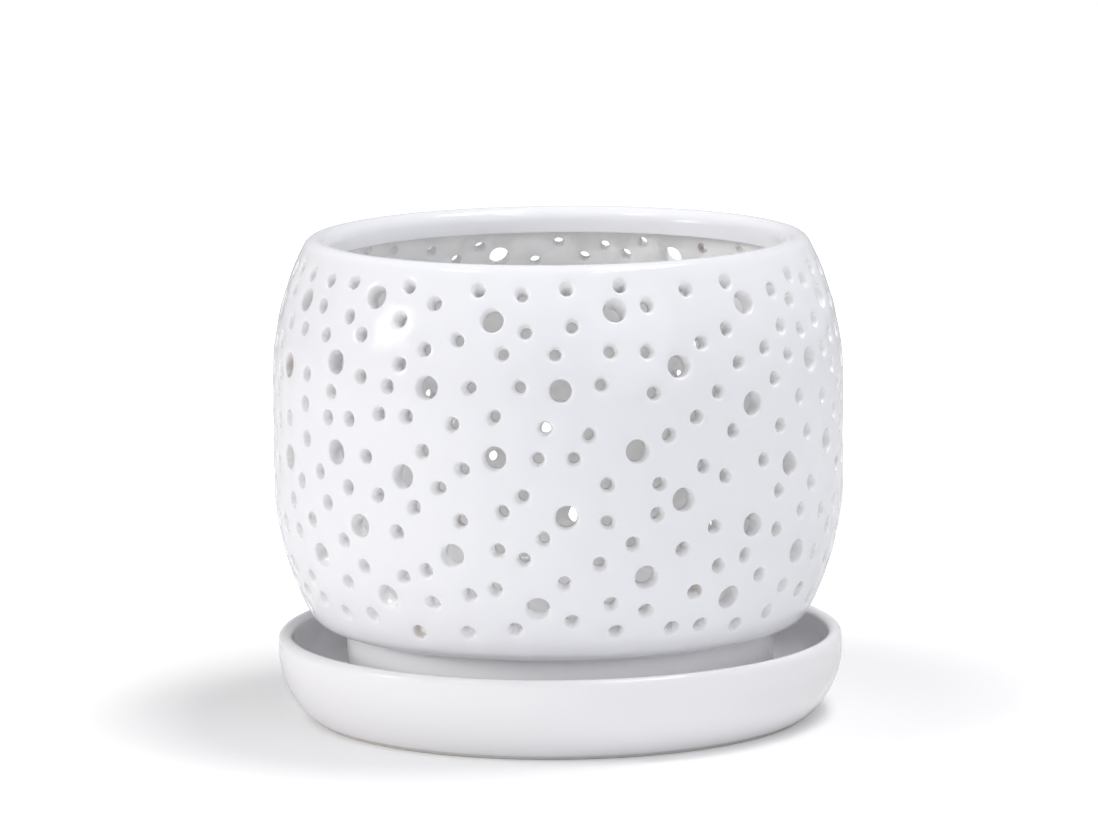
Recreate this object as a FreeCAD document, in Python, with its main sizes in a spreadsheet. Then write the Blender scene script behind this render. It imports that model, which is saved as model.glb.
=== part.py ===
import FreeCAD, Part

import math
import os
import re

import Sketcher

# An orchid pot: a glazed barrel-shaped shell pierced all over with round air holes,
# standing on its own plain foot in a shallow loose saucer. Both pieces are turned about Z.
# The ground is z = 0, with the origin under the middle of the saucer. Lengths are millimetres.

# Saucer sizes. The bowl's curve starts outside the pot's foot by foot_clearance and ends
# under a short upright inner side. The outer curve's middle lies curve_drop below the rim.
SAUCER_SIZES = {
    "foot_clearance": 0.3,
    "saucer_bowl_radius": 15.5,
    "saucer_upright": 1.75,
    "saucer_rim_round": 2.05,
    "saucer_curve_radius": 23.5,
    "saucer_curve_drop": 5.3,
    "saucer_floor_height": 5.0,
    "saucer_ring_inset": 10.5,
    "saucer_ring_width": 4.0,
    "saucer_ring_height": 1.5,
    "saucer_recess_depth": 1.2,
}

# Pot sizes. Heights are above the underside of the pot's foot. The belly is a short
# cylinder between belly_low and belly_high, with a ball's curve below it and above it.
POT_SIZES = {
    "pot_height": 134.4,
    "belly_radius": 82.5,
    "belly_low": 65.0,
    "belly_high": 93.5,
    "wall": 5.0,
    "rim_round": 4.0,
    "lip_drop": 7.7,
    "lip_edge_round": 1.2,
    "turn_round": 7.0,
    "foot_inset": 20.5,
    "foot_height": 22.3,
    "foot_ring_width": 7.0,
    "foot_recess_depth": 2.0,
    "notch_width": 8.0,
    "notch_depth": 1.5,
    "floor_thickness": 5.0,
    "drain_radius": 7.0,
}

# Air holes. Their centres lie in a band from a little above the foot to a little below the top.
HOLE_SIZES = {
    "hole_diameter": 6.6,
    "punch_depth": 10.0,
    "cut_overrun": 2.0,
    "band_foot_gap": 6.7,
    "band_top_gap": 5.4,
}

COUNTS = {
    "hole_sides": 8,
    "notch_count": 3,
}

SIZES = {**SAUCER_SIZES, **POT_SIZES, **HOLE_SIZES, **COUNTS}

# Sizes that follow from the ones above: the foot from the belly, and the saucer from the foot.
FOOT_RADIUS = "(belly_radius - foot_inset)"
FLOOR_RADIUS = f"({FOOT_RADIUS} + foot_clearance)"
SAUCER_RADIUS = f"({FLOOR_RADIUS} + saucer_bowl_radius + 2 * saucer_rim_round)"
SAUCER_HEIGHT = "(saucer_floor_height + saucer_bowl_radius + saucer_upright + saucer_rim_round)"
BAND_LOW = "(foot_height + band_foot_gap)"
BAND_HIGH = "(pot_height - band_top_gap)"

# Where the air holes are on the front half: the azimuth in degrees from the front, towards
# the right, and the height as a share of the band. The back half has the same scatter turned
# by a half turn, apart from its top row, which shows through the mouth.
FRONT_TOP_SHARES = [
    (-83.5, 0.875),
    (-66.0, 0.915),
    (-41.5, 0.955),
    (-13.5, 0.910),
    (12.0, 0.935),
    (42.5, 0.930),
    (73.5, 0.900),
]
BACK_TOP_SHARES = [
    (-83.5, 0.875),
    (-60.0, 0.935),
    (-28.0, 0.920),
    (13.5, 0.915),
    (63.0, 0.930),
]
HOLE_SHARES = [
    (-87.0, 0.190),
    (-84.5, 0.600),
    (-69.0, 0.725),
    (-68.5, 0.460),
    (-56.5, 0.200),
    (-50.0, 0.765),
    (-49.5, 0.510),
    (-43.0, 0.310),
    (-38.0, 0.110),
    (-32.0, 0.465),
    (-26.5, 0.720),
    (-21.5, 0.250),
    (-12.5, 0.530),
    (-4.5, 0.100),
    (0.5, 0.720),
    (1.5, 0.365),
    (15.5, 0.545),
    (17.5, 0.185),
    (24.5, 0.775),
    (25.0, 0.400),
    (37.5, 0.100),
    (41.5, 0.305),
    (41.5, 0.650),
    (52.5, 0.460),
    (56.5, 0.200),
    (61.0, 0.745),
    (68.5, 0.495),
    (82.0, 0.300),
    (84.0, 0.710),
    (86.0, 0.090),
    (87.5, 0.480),
]

doc = FreeCAD.newDocument("orchid_pot")
sheet = doc.addObject("Spreadsheet::Sheet", "Sizes")
for row, (alias, value) in enumerate(SIZES.items(), start=1):
    sheet.set(f"A{row}", alias)
    sheet.set(f"B{row}", str(value))
    sheet.setAlias(f"B{row}", alias)
doc.recompute()


def bound(formula):
    """Return the formula with each size's name pointing at its cell in the sheet."""
    names = "|".join(SIZES)
    return re.sub(rf"\b({names})\b", r"Sizes.\1", formula)


def size(formula):
    """Return the value of a formula in the sheet's sizes."""
    return float(sheet.evalExpression(bound(formula)))


def line_to(x, z):
    """Return an outline step that is a straight run to a point."""
    return {"x": x, "z": z, "arc": None}


def arc_to(x, z, centre_x, centre_z, radius):
    """Return an outline step that is an arc of under a half circle to a point."""
    return {"x": x, "z": z, "arc": (centre_x, centre_z, radius)}


def point(step):
    """Return the sketch point of an outline step."""
    return FreeCAD.Vector(size(step["x"]), size(step["z"]), 0)


def outline_sketch(body, name, steps):
    """Draw a closed outline in the XZ plane, with every point and radius bound to the sheet."""
    sketch = body.newObject("Sketcher::SketchObject", name)
    plane = next(f for f in body.Origin.OriginFeatures if f.Role == "XZ_Plane")
    sketch.AttachmentSupport = (plane, [""])
    sketch.MapMode = "FlatFace"
    ends = []
    for index, step in enumerate(steps):
        start, end = point(steps[index - 1]), point(step)
        if step["arc"] is None:
            sketch.addGeometry(Part.LineSegment(start, end), False)
            ends.append((1, 2))
            continue
        centre_x, centre_z, radius = (size(formula) for formula in step["arc"])
        centre = FreeCAD.Vector(centre_x, centre_z, 0)
        first, last = start - centre, end - centre
        counter_clockwise = first.cross(last).z > 0
        if not counter_clockwise:
            first, last = last, first
        circle = Part.Circle(centre, FreeCAD.Vector(0, 0, 1), radius)
        angles = (math.atan2(first.y, first.x), math.atan2(last.y, last.x))
        sketch.addGeometry(Part.ArcOfCircle(circle, *angles), False)
        ends.append((1, 2) if counter_clockwise else (2, 1))
    for index, step in enumerate(steps):
        following = (index + 1) % len(steps)
        here, there = (index, ends[index][1]), (following, ends[following][0])
        sketch.addConstraint(Sketcher.Constraint("Coincident", *here, *there))
        bind_place(sketch, here, f"{name}_{index}", step)
        if step["arc"] is not None:
            radius = step["arc"][2]
            bind_constraint(sketch, ("Radius", index), f"{name}_{index}_radius", radius)
    return sketch


def bind_place(sketch, vertex, name, step):
    """Fix a vertex of the sketch at the place that its step's two formulas give."""
    axes = (("DistanceX", step["x"], -2), ("DistanceY", step["z"], -1))
    for kind, formula, axis in axes:
        if formula == "0":
            sketch.addConstraint(Sketcher.Constraint("PointOnObject", *vertex, axis))
        else:
            bind_constraint(sketch, (kind, -1, 1, *vertex), f"{name}_{kind[-1]}", formula)


def bind_constraint(sketch, head, name, formula):
    """Add a named dimension to the sketch and bind it to a formula."""
    index = sketch.addConstraint(Sketcher.Constraint(*head, size(formula)))
    sketch.renameConstraint(index, name)
    sketch.setExpression(f"Constraints.{name}", bound(formula))


def turned_body(label, steps):
    """Return a body turned about Z from an outline in the XZ plane."""
    body = doc.addObject("PartDesign::Body", label)
    sketch = outline_sketch(body, f"{label}_outline", steps)
    turning = body.newObject("PartDesign::Revolution", f"{label}_turning")
    turning.Profile = sketch
    turning.ReferenceAxis = (sketch, ["V_Axis"])
    turning.Angle = 360
    sketch.Visibility = False
    doc.recompute()
    return body


def make_saucer():
    """Return the saucer: a shallow bowl with a thick rounded rim and a low foot ring."""
    rim_x = f"{SAUCER_RADIUS} - saucer_rim_round"
    rim_z = f"{SAUCER_HEIGHT} - saucer_rim_round"
    rim_inside = f"{FLOOR_RADIUS} + saucer_bowl_radius"
    curve_x = f"{SAUCER_RADIUS} - saucer_curve_radius"
    curve_z = f"({SAUCER_HEIGHT} - saucer_curve_drop)"
    base_x = f"{curve_x} + sqrt(saucer_curve_radius^2 - ({curve_z} - saucer_ring_height)^2)"
    bowl_z = "saucer_floor_height + saucer_bowl_radius"
    ring_radius = f"{SAUCER_RADIUS} - saucer_ring_inset"
    ring_inside = f"{ring_radius} - saucer_ring_width"
    steps = [
        line_to("0", "saucer_recess_depth"),
        line_to(ring_inside, "saucer_recess_depth"),
        line_to(ring_inside, "0"),
        line_to(ring_radius, "0"),
        line_to(ring_radius, "saucer_ring_height"),
        line_to(base_x, "saucer_ring_height"),
        arc_to(SAUCER_RADIUS, curve_z, curve_x, curve_z, "saucer_curve_radius"),
        line_to(SAUCER_RADIUS, rim_z),
        arc_to(rim_x, SAUCER_HEIGHT, rim_x, rim_z, "saucer_rim_round"),
        arc_to(rim_inside, rim_z, rim_x, rim_z, "saucer_rim_round"),
        line_to(rim_inside, bowl_z),
        arc_to(FLOOR_RADIUS, "saucer_floor_height", FLOOR_RADIUS, bowl_z, "saucer_bowl_radius"),
        line_to("0", "saucer_floor_height"),
    ]
    return turned_body("saucer", steps)


def make_pot_blank():
    """Return the pot before its air holes are punched: shell, rolled rim, foot and floor."""
    # The rolled rim lies inside the ball's curve of the shoulder and touches it.
    rim_z = "(pot_height - rim_round)"
    rim_x = f"sqrt((belly_radius - rim_round)^2 - ({rim_z} - belly_high)^2)"
    rim_share = "(belly_radius / (belly_radius - rim_round))"
    lip_x = f"({rim_x} - rim_round)"
    lip_z = "(pot_height - lip_drop)"
    lip_edge_x = f"({lip_x} + lip_edge_round)"
    lip_edge_z = f"({lip_z} + lip_edge_round)"
    # The turn under the belly lies inside the lower ball's curve and touches it.
    turn_z = "(foot_height + turn_round)"
    turn_x = f"sqrt((belly_radius - turn_round)^2 - (belly_low - {turn_z})^2)"
    turn_share = "(belly_radius / (belly_radius - turn_round))"
    # The inside of the shell, its ledge over the foot and the well in the foot.
    inner_radius = "(belly_radius - wall)"
    under_lip_x = f"sqrt({inner_radius}^2 - ({lip_z} - belly_high)^2)"
    ledge_z = "(foot_height + wall)"
    ledge_x = f"sqrt({inner_radius}^2 - (belly_low - {ledge_z})^2)"
    well_x = f"{FOOT_RADIUS} - wall"
    ring_inside = f"{FOOT_RADIUS} - foot_ring_width"
    steps = [
        line_to("drain_radius", "foot_recess_depth"),
        line_to(ring_inside, "foot_recess_depth"),
        line_to(ring_inside, "0"),
        line_to(FOOT_RADIUS, "0"),
        line_to(FOOT_RADIUS, "foot_height"),
        line_to(turn_x, "foot_height"),
        arc_to(f"{turn_x} * {turn_share}", f"belly_low - (belly_low - {turn_z}) * {turn_share}",
               turn_x, turn_z, "turn_round"),
        arc_to("belly_radius", "belly_low", "0", "belly_low", "belly_radius"),
        line_to("belly_radius", "belly_high"),
        arc_to(f"{rim_x} * {rim_share}", f"belly_high + ({rim_z} - belly_high) * {rim_share}",
               "0", "belly_high", "belly_radius"),
        arc_to(lip_x, rim_z, rim_x, rim_z, "rim_round"),
        line_to(lip_x, lip_edge_z),
        arc_to(lip_edge_x, lip_z, lip_edge_x, lip_edge_z, "lip_edge_round"),
        line_to(under_lip_x, lip_z),
        arc_to(inner_radius, "belly_high", "0", "belly_high", inner_radius),
        line_to(inner_radius, "belly_low"),
        arc_to(ledge_x, ledge_z, "0", "belly_low", inner_radius),
        line_to(well_x, ledge_z),
        line_to(well_x, "floor_thickness"),
        line_to("drain_radius", "floor_thickness"),
    ]
    blank = turned_body("pot_blank", steps)
    cut_weep_notches(blank)
    return blank


def cut_weep_notches(blank):
    """Cut the small notches in the foot ring that let drained water out into the saucer."""
    sketch = blank.newObject("Sketcher::SketchObject", "notch_outline")
    plane = next(f for f in blank.Origin.OriginFeatures if f.Role == "XY_Plane")
    sketch.AttachmentSupport = (plane, [""])
    sketch.MapMode = "FlatFace"
    low_x = f"{FOOT_RADIUS} - foot_ring_width - cut_overrun"
    high_x = f"{FOOT_RADIUS} + cut_overrun"
    half = "notch_width / 2"
    corners = [(low_x, -1), (high_x, -1), (high_x, 1), (low_x, 1)]
    places = [FreeCAD.Vector(size(x), side * size(half), 0) for x, side in corners]
    for index, place in enumerate(places):
        sketch.addGeometry(Part.LineSegment(places[index - 1], place), False)
    for index in range(len(corners)):
        following = (index + 1) % len(corners)
        sketch.addConstraint(Sketcher.Constraint("Coincident", index, 2, following, 1))
    for index, kind in enumerate(("Vertical", "Horizontal", "Vertical", "Horizontal")):
        sketch.addConstraint(Sketcher.Constraint(kind, index))
    bind_constraint(sketch, ("DistanceX", -1, 1, 0, 2), "notch_low_x", low_x)
    bind_constraint(sketch, ("DistanceX", -1, 1, 1, 2), "notch_high_x", high_x)
    bind_constraint(sketch, ("DistanceY", -1, 1, 2, 2), "notch_half", half)
    bind_constraint(sketch, ("DistanceY", 0, 1, 0, 2), "notch_across", "-notch_width")
    notch = blank.newObject("PartDesign::Pocket", "weep_notch")
    notch.Profile = sketch
    notch.Midplane = True
    notch.setExpression("Length", bound("2 * notch_depth"))
    notches = blank.newObject("PartDesign::PolarPattern", "weep_notches")
    notches.Originals = [notch]
    notches.Axis = (sketch, ["N_Axis"])
    notches.Angle = 360
    notches.setExpression("Occurrences", bound("notch_count"))
    blank.Tip = notches
    sketch.Visibility = False
    doc.recompute()


def make_punch():
    """Return the straight punch that pierces one air hole from outside the wall."""
    punch = doc.addObject("Part::Prism", "punch")
    punch.setExpression("Polygon", bound("hole_sides"))
    punch.setExpression("Circumradius", bound("hole_diameter / 2"))
    punch.setExpression("Height", bound("punch_depth + cut_overrun"))
    doc.recompute()
    return punch


def punch_place(azimuth, height_share):
    """Return where the punch stands to pierce the wall squarely at a place on the band."""
    turn = math.radians(azimuth)
    outward = FreeCAD.Vector(math.sin(turn), -math.cos(turn), 0)
    height = size(BAND_LOW) + height_share * size(f"{BAND_HIGH} - {BAND_LOW}")
    centre_height = min(max(height, size("belly_low")), size("belly_high"))
    tilt = math.asin((height - centre_height) / size("belly_radius"))
    normal = outward * math.cos(tilt) + FreeCAD.Vector(0, 0, math.sin(tilt))
    place = normal * size("belly_radius - punch_depth") + FreeCAD.Vector(0, 0, centre_height)
    level = FreeCAD.Vector(0, 0, 1).cross(normal)
    rotation = FreeCAD.Rotation(level, normal.cross(level), normal, "ZXY")
    return FreeCAD.Placement(place, rotation)


def make_punches():
    """Return the punches of all the air holes, each standing in its place, as one compound."""
    punch = make_punch()
    shapes = []
    for half_turn, top_row in ((0, FRONT_TOP_SHARES), (180, BACK_TOP_SHARES)):
        for azimuth, height_share in top_row + HOLE_SHARES:
            shape = punch.Shape.copy()
            shape.Placement = punch_place(azimuth + half_turn, height_share)
            shapes.append(shape)
    punches = doc.addObject("Part::Feature", "air_hole_punches")
    punches.Shape = Part.makeCompound(shapes)
    return punches


def make_pot():
    """Return the finished pot, standing with its foot on the saucer's floor."""
    blank = make_pot_blank()
    pot = doc.addObject("Part::Cut", "pot")
    pot.Base = blank
    pot.Tool = make_punches()
    pot.setExpression("Placement.Base.z", bound("saucer_floor_height"))
    return pot


sub_parts = [make_saucer(), make_pot()]
doc.recompute()

for item in doc.Objects:
    if "Invalid" in item.State or "Error" in item.State:
        raise RuntimeError(f"{item.Label} did not build: {item.State}")
for sub_part in sub_parts:
    shape = sub_part.Shape
    if shape.isNull() or not shape.isValid() or len(shape.Solids) != 1:
        raise RuntimeError(f"{sub_part.Label} is not one sound solid")

os.makedirs("parts", exist_ok=True)
for sub_part in sub_parts:
    sub_part.Shape.exportStep(f"parts/{sub_part.Label}.step")
    print(sub_part.Label, "volume", round(sub_part.Shape.Volume), "faces", len(sub_part.Shape.Faces))
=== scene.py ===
"""A white glazed orchid pot, pierced all over with air holes, standing in its loose saucer."""

from __future__ import annotations

import logging
import math
from dataclasses import dataclass, field
from enum import Enum
from typing import Sequence

import bmesh
import bpy
import numpy as np
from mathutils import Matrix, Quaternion, Vector, geometry, kdtree

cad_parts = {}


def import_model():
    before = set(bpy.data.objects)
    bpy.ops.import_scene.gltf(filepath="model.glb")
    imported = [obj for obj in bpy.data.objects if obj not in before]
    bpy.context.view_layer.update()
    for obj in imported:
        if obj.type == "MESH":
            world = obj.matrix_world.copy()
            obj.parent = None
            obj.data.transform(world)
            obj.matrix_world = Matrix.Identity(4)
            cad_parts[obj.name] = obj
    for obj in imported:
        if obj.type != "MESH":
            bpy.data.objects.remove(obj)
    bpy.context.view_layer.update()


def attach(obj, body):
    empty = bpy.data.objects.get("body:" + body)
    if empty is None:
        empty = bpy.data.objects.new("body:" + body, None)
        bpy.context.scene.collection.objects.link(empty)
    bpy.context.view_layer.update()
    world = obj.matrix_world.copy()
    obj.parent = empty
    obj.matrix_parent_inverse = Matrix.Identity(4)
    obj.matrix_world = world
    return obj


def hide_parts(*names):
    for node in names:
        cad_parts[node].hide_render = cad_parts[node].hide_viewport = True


log = logging.getLogger("orchid_pot")

Socket = bpy.types.NodeSocket
Colour = tuple[float, float, float, float]
Pair = tuple[float, float]

MM = 0.001
ML = 1e-6
TURN_STEPS = 240
MERGE_DISTANCE = 0.006 * MM
AIM_HEIGHT = 80 * MM

# Where the air holes are on the front half: the azimuth in degrees from the front towards the
# right, and the height as a share of the pierced band. The back half has the same scatter, turned
# by a half turn, apart from its top rows, which show through the mouth.
LARGE_HOLE_SHARES: list[Pair] = [
    (-87, 0.190), (-84.5, 0.600), (-69, 0.725), (-68.5, 0.460), (-56.5, 0.200), (-50, 0.765),
    (-49.5, 0.510), (-43, 0.310), (-38, 0.110), (-32, 0.465), (-26.5, 0.720), (-21.5, 0.250),
    (-12.5, 0.530), (-4.5, 0.100), (0.5, 0.720), (1.5, 0.365), (15.5, 0.545), (17.5, 0.185),
    (24.5, 0.775), (25, 0.400), (37.5, 0.100), (41.5, 0.305), (41.5, 0.650), (52.5, 0.460),
    (56.5, 0.200), (61, 0.745), (68.5, 0.495), (82, 0.300), (84, 0.710), (86, 0.090),
    (87.5, 0.480),
]
LARGE_FRONT_TOP_SHARES: list[Pair] = [
    (-83.5, 0.875), (-66, 0.915), (-41.5, 0.955), (-13.5, 0.910), (12, 0.935), (42.5, 0.930),
    (73.5, 0.900),
]
LARGE_BACK_TOP_SHARES: list[Pair] = [
    (-83.5, 0.875), (-60, 0.935), (-28, 0.920), (13.5, 0.915), (63, 0.930),
]
SMALL_HOLE_SHARES: list[Pair] = [
    (-71.5, 0.845), (-63.5, 0.840), (-54.5, 0.835), (-43.5, 0.850), (-27.5, 0.825),
    (-20.5, 0.855), (-11, 0.820), (-0.5, 0.820), (10.5, 0.825), (18, 0.820), (30, 0.835),
    (46, 0.800), (52, 0.850), (59, 0.830), (66, 0.845), (-76, 0.785), (-33, 0.780), (38.5, 0.770),
    (53, 0.770), (68, 0.760), (74, 0.790), (-60, 0.715), (-42.5, 0.735), (-35.5, 0.715),
    (-17.5, 0.725), (-7.5, 0.730), (8.5, 0.735), (19, 0.705), (33, 0.695), (48, 0.710),
    (72.5, 0.705), (-74.5, 0.695), (-51, 0.680), (-37.5, 0.635), (-31, 0.635), (-21, 0.620),
    (-12.5, 0.645), (-2.5, 0.615), (28, 0.630), (56, 0.645), (66, 0.630), (76.5, 0.650),
    (-76.5, 0.645), (-60.5, 0.630), (-52, 0.605), (-45.5, 0.610), (6, 0.595), (22, 0.585),
    (36.5, 0.580), (49.5, 0.575), (73.5, 0.570), (-75.5, 0.555), (-68.5, 0.575), (-60, 0.530),
    (-27.5, 0.540), (-4, 0.530), (3, 0.530), (59, 0.540), (-41, 0.510), (-19, 0.495),
    (29.5, 0.490), (44.5, 0.485), (-55, 0.445), (-24, 0.440), (9.5, 0.455), (20, 0.450),
    (34.5, 0.455), (-62.5, 0.405), (-46, 0.415), (-38, 0.405), (-7, 0.425), (49, 0.390),
    (60.5, 0.390), (75.5, 0.410), (-52.5, 0.360), (-29.5, 0.380), (-19.5, 0.350), (-11, 0.380),
    (9.5, 0.350), (19.5, 0.365), (-67, 0.340), (-58.5, 0.300), (-33.5, 0.305), (-3, 0.305),
    (32, 0.315), (56.5, 0.320), (65.5, 0.300), (73.5, 0.305), (-65, 0.255), (-73, 0.260),
    (-48, 0.260), (-12, 0.270), (-7, 0.245), (8, 0.230), (14.5, 0.285), (25, 0.260),
    (48.5, 0.280), (70.5, 0.245), (-43, 0.190), (-33, 0.175), (-27.5, 0.200), (1, 0.175),
    (33.5, 0.200), (40, 0.220), (64.5, 0.180), (-74, 0.135), (-63.5, 0.120), (-49, 0.135),
    (-18.5, 0.135), (-13, 0.155), (-27, 0.105), (10.5, 0.110), (18, 0.085), (28.5, 0.130),
    (45, 0.155), (54, 0.105), (74, 0.150), (-70, 0.065), (-61, 0.060), (-53, 0.035), (-44, 0.045),
    (-32, 0.010), (-20, 0.020), (-9.5, 0.035), (2.5, 0.060), (12, 0.025), (24.5, 0.025),
    (31.5, 0.025), (41.5, 0.010), (51, 0.030), (62, 0.075), (71.5, 0.035), (88, 0.805),
    (80.5, 0.790), (89.5, 0.640), (82, 0.605), (80, 0.520), (82.5, 0.420), (89, 0.375),
    (88.5, 0.255), (79.5, 0.215), (85, 0.185), (80, 0.110), (79, 0.020), (88.5, 0.005),
    (-88.5, 0.780), (-81.5, 0.765), (-82, 0.690), (-89, 0.690), (-80, 0.500), (-87, 0.500),
    (-77, 0.425), (-83, 0.400), (-89, 0.350), (-81, 0.330), (-80.5, 0.255), (-80.5, 0.165),
    (-78.5, 0.075), (-87, 0.060), (-76, 0.010),
]
SMALL_FRONT_TOP_SHARES: list[Pair] = [
    (-76, 0.985), (-67.5, 0.985), (-58, 0.980), (-49.5, 0.985), (-33.5, 0.990), (-17, 0.990),
    (-7.5, 0.980), (2, 0.995), (13.5, 0.995), (28.5, 0.980), (39, 0.990), (60.5, 0.980),
    (74.5, 0.980), (-75.5, 0.940), (-26.5, 0.950), (19, 0.945), (52, 0.950), (66.5, 0.955),
    (-58, 0.910), (-48, 0.895), (-34, 0.900), (-6.5, 0.880), (3, 0.895), (57.5, 0.915),
    (36.5, 0.865), (83, 0.965), (81.5, 0.875), (89, 0.900), (-83, 0.975),
]
SMALL_BACK_TOP_SHARES: list[Pair] = [
    (51.5, 0.973), (42.5, 0.960), (31, 0.947), (24, 0.911), (18.5, 0.951), (5, 0.899),
    (-0.5, 0.959), (-6.5, 0.912), (-11.5, 0.948), (-16.5, 0.922), (-21, 0.963), (-37, 0.954),
    (-76, 0.985), (-67.5, 0.985), (-49, 0.965), (60.5, 0.985), (74.5, 0.980), (-75.5, 0.940),
    (-45, 0.900), (-52, 0.880), (55, 0.905), (37, 0.890), (70, 0.915), (83, 0.965), (81.5, 0.875),
    (89, 0.900), (-83, 0.975), (-68, 0.900), (-34, 0.890), (36.5, 0.860),
]


@dataclass(frozen=True)
class HoleCut:
    """Sizes of one kind of air hole, in metres.

    Args:
        mouth: radius of the funnel under its outer rounding.
        throat: radius of the bore behind the funnel.
        funnel: depth at which the funnel has narrowed to the throat.
        fillet: radius of the glazed rounding at both ends.
        sides: sides of the ring of faces round the bore.
        squash: how far from round the bore may be, as a share of its radius.
        rings: distances of the extra rings of points in the skin round the hole.
    """

    mouth: float
    throat: float
    funnel: float
    fillet: float
    sides: int
    squash: float
    rings: tuple[float, ...]

    @property
    def edge(self) -> float:
        """Radius at which the rounding runs out into the wall's outer side."""
        return self.mouth + self.fillet

    @property
    def inner_edge(self) -> float:
        """Radius at which the rounding runs out into the wall's inner side."""
        return self.throat + self.fillet


class HoleKind(Enum):
    """The two kinds of air hole in the wall."""

    LARGE = HoleCut(3.4 * MM, 3.15 * MM, 2.0 * MM, 0.45 * MM, 32, 0.02, (0.7 * MM, 1.7 * MM))
    SMALL = HoleCut(2.15 * MM, 1.6 * MM, 1.7 * MM, 0.45 * MM, 22, 0.08, (0.8 * MM,))


@dataclass(frozen=True)
class MeshData:
    """Vertices, faces and the marks of each vertex that a material reads.

    Args:
        points: vertex places, in metres.
        faces: vertex numbers of each face.
        lining: 1 in the bore of an air hole, 0 elsewhere, for each vertex.
        inside: 1 on the inner side of the wall, 0 elsewhere, for each vertex.
    """

    points: np.ndarray
    faces: list[tuple[int, ...]]
    lining: np.ndarray
    inside: np.ndarray


class NodeBench:
    """A node tree with short calls that add its nodes and join them."""

    def __init__(self, tree: bpy.types.NodeTree) -> None:
        """Take hold of a node tree."""
        self.tree = tree

    def feed(self, value: object, socket: Socket) -> None:
        """Give a socket a value, or a link when the value is another socket."""
        if isinstance(value, Socket):
            self.tree.links.new(value, socket)
        else:
            socket.default_value = value

    def add(self, kind: str, values: dict[str, object] | None = None,
            **settings: object) -> bpy.types.Node:
        """Add a node.

        Args:
            kind: the node's type name.
            values: what its inputs get, by input name.
            **settings: properties of the node itself.

        Returns:
            The new node.
        """
        node = self.tree.nodes.new(kind)
        for name, value in settings.items():
            setattr(node, name, value)
        for name, value in (values or {}).items():
            socket = next(s for s in node.inputs if s.name == name and s.enabled)
            self.feed(value, socket)
        return node

    def math(self, operation: str, *values: object) -> Socket:
        """Return the result of a Math node fed with the values in order."""
        node = self.add("ShaderNodeMath", operation=operation)
        for index, value in enumerate(values):
            self.feed(value, node.inputs[index])
        return node.outputs[0]

    def vector(self, operation: str, *values: object, scale: object = None) -> Socket:
        """Return the result of a Vector Math node fed with the values in order."""
        node = self.add("ShaderNodeVectorMath", operation=operation)
        for index, value in enumerate(values):
            self.feed(value, node.inputs[index])
        if scale is not None:
            self.feed(scale, node.inputs["Scale"])
        return node.outputs["Vector"]

    def parts(self, vector: Socket) -> tuple[Socket, ...]:
        """Return the X, Y and Z of a vector."""
        return tuple(self.add("ShaderNodeSeparateXYZ", {"Vector": vector}).outputs)

    def joined(self, x: object, y: object, z: object) -> Socket:
        """Return a vector made from its X, Y and Z."""
        return self.add("ShaderNodeCombineXYZ", {"X": x, "Y": y, "Z": z}).outputs[0]

    def spread(self, value: object, low: object, high: object, start: object = 0.0,
               end: object = 1.0) -> Socket:
        """Return the value mapped smoothly from low..high to start..end, kept between them."""
        node = self.add("ShaderNodeMapRange", interpolation_type="SMOOTHSTEP")
        for index, part in enumerate((value, low, high, start, end)):
            self.feed(part, node.inputs[index])
        return node.outputs[0]

    def plus(self, first: object, second: object) -> Socket:
        """Return the sum of two values."""
        return self.math("ADD", first, second)

    def minus(self, first: object, second: object) -> Socket:
        """Return the first value less the second."""
        return self.math("SUBTRACT", first, second)

    def times(self, first: object, second: object) -> Socket:
        """Return the product of two values."""
        return self.math("MULTIPLY", first, second)

    def choice(self, share: object, first: object, second: object) -> Socket:
        """Return the first value at share 0 and the second at share 1."""
        return self.math("MULTIPLY_ADD", share, self.minus(second, first), first)

    def scaled(self, vector: object, factor: object) -> Socket:
        """Return a vector made longer or shorter by a factor."""
        return self.vector("SCALE", vector, scale=factor)

    def direction(self, start: object, end: object) -> Socket:
        """Return the unit vector from one point towards another."""
        return self.vector("NORMALIZE", self.vector("SUBTRACT", end, start))

    def reach(self, x: object, y: object) -> Socket:
        """Return the distance from the upright axis."""
        return self.math("SQRT", self.plus(self.times(x, x), self.times(y, y)))

    def blend(self, share: object, first: object, second: object) -> Socket:
        """Return the mix of two colours by a share."""
        node = self.add("ShaderNodeMix", data_type="RGBA")
        sockets = [s for s in node.inputs if s.enabled]
        for socket, value in zip(sockets, (share, first, second)):
            self.feed(value, socket)
        return next(s for s in node.outputs if s.enabled)


def wrapped(angle: np.ndarray | float) -> np.ndarray | float:
    """Return an angle brought to within half a turn of the front."""
    return (angle + math.pi) % math.tau - math.pi


def mark_points(mesh: bpy.types.Mesh, marks: dict[str, np.ndarray]) -> None:
    """Give each point of a mesh its values, by the name of the attribute."""
    for name, values in marks.items():
        mark = mesh.attributes.new(name, "FLOAT", "POINT")
        mark.data.foreach_set("value", values.astype(np.float32))


def point_tree(points: np.ndarray) -> kdtree.KDTree:
    """Return a tree that finds the points near a place."""
    tree = kdtree.KDTree(len(points))
    for index, point in enumerate(points):
        tree.insert(point, index)
    tree.balance()
    return tree


def arc(centre: Pair, radius: float, start: float, end: float, steps: int) -> list[Pair]:
    """Return points along an arc of a turned outline.

    Args:
        centre: the arc's middle, as radius from the axis and height.
        radius: the arc's radius.
        start: first angle, in degrees from outward towards up.
        end: last angle, in degrees.
        steps: how many straight runs stand for the arc.

    Returns:
        The points, both ends included.
    """
    angles = [math.radians(start + (end - start) * step / steps) for step in range(steps + 1)]
    return [(centre[0] + radius * math.cos(a), centre[1] + radius * math.sin(a)) for a in angles]


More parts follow.
